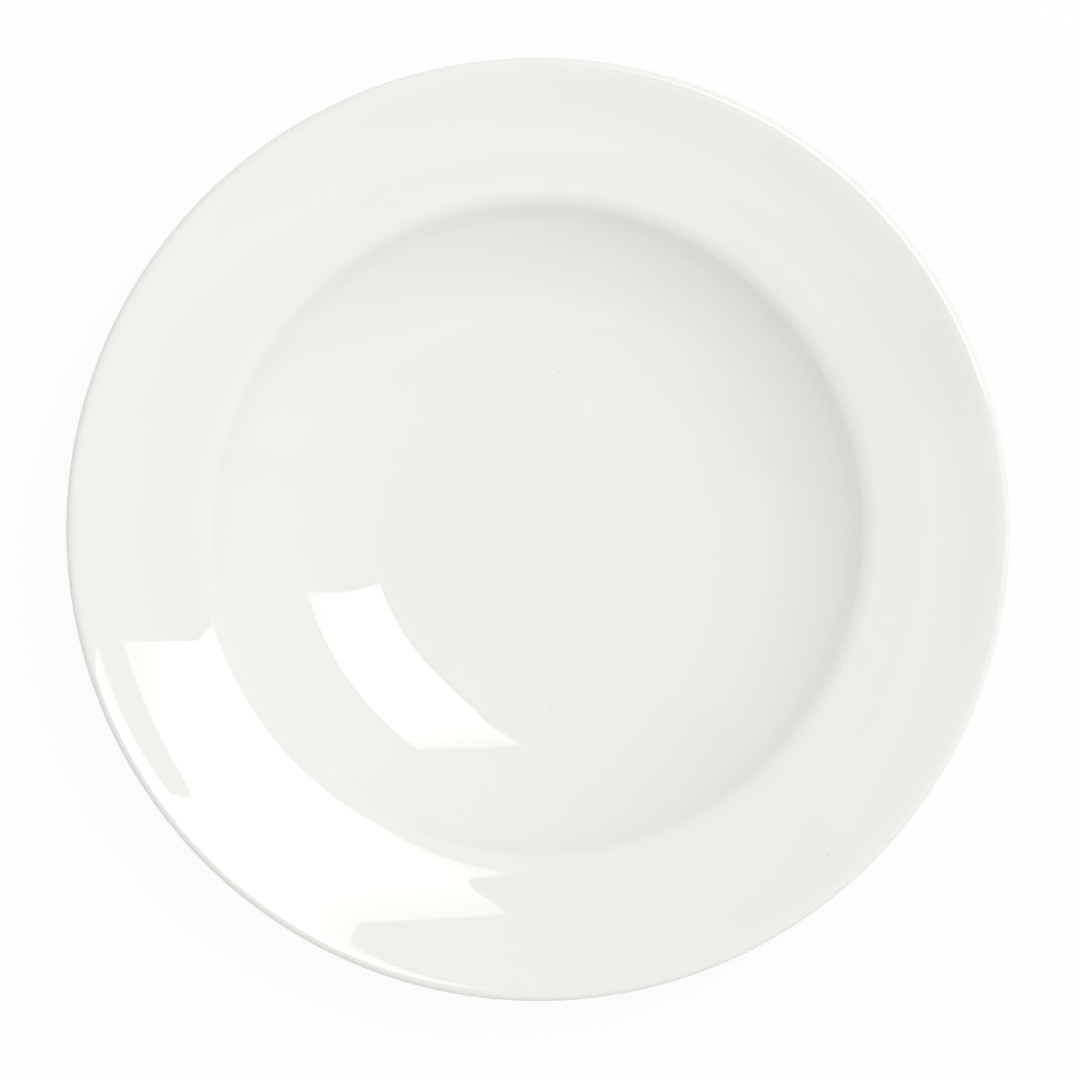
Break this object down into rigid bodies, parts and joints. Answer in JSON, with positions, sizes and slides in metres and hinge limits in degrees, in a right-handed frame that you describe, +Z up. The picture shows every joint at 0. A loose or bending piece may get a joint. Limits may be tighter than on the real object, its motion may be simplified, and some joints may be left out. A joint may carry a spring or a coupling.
{
  "type": "rimmed soup plate",
  "caption": "Round soup plate in white glazed porcelain, with a deep well, a wide rim that curves up to a rounded lip, and a dry standing ring on its foot.",
  "frame": {"origin": "middle of the foot's standing ring, on the surface that the plate stands on", "axes": "+Z up along the plate's axis, through the middle of the well; the plate is round, and +Y is the picture's upward direction and +X its right"},
  "size_m": [0.23, 0.23, 0.0362],
  "materials": {
    "porcelain": "matte, unglazed and ground smooth on the standing ring",
    "glaze": "glossy warm white"
  },
  "bodies": {
    "root": {"porcelain_body": "porcelain", "main_glaze": "glaze", "foot_recess_glaze": "glaze"}
  },
  "joints": []
}
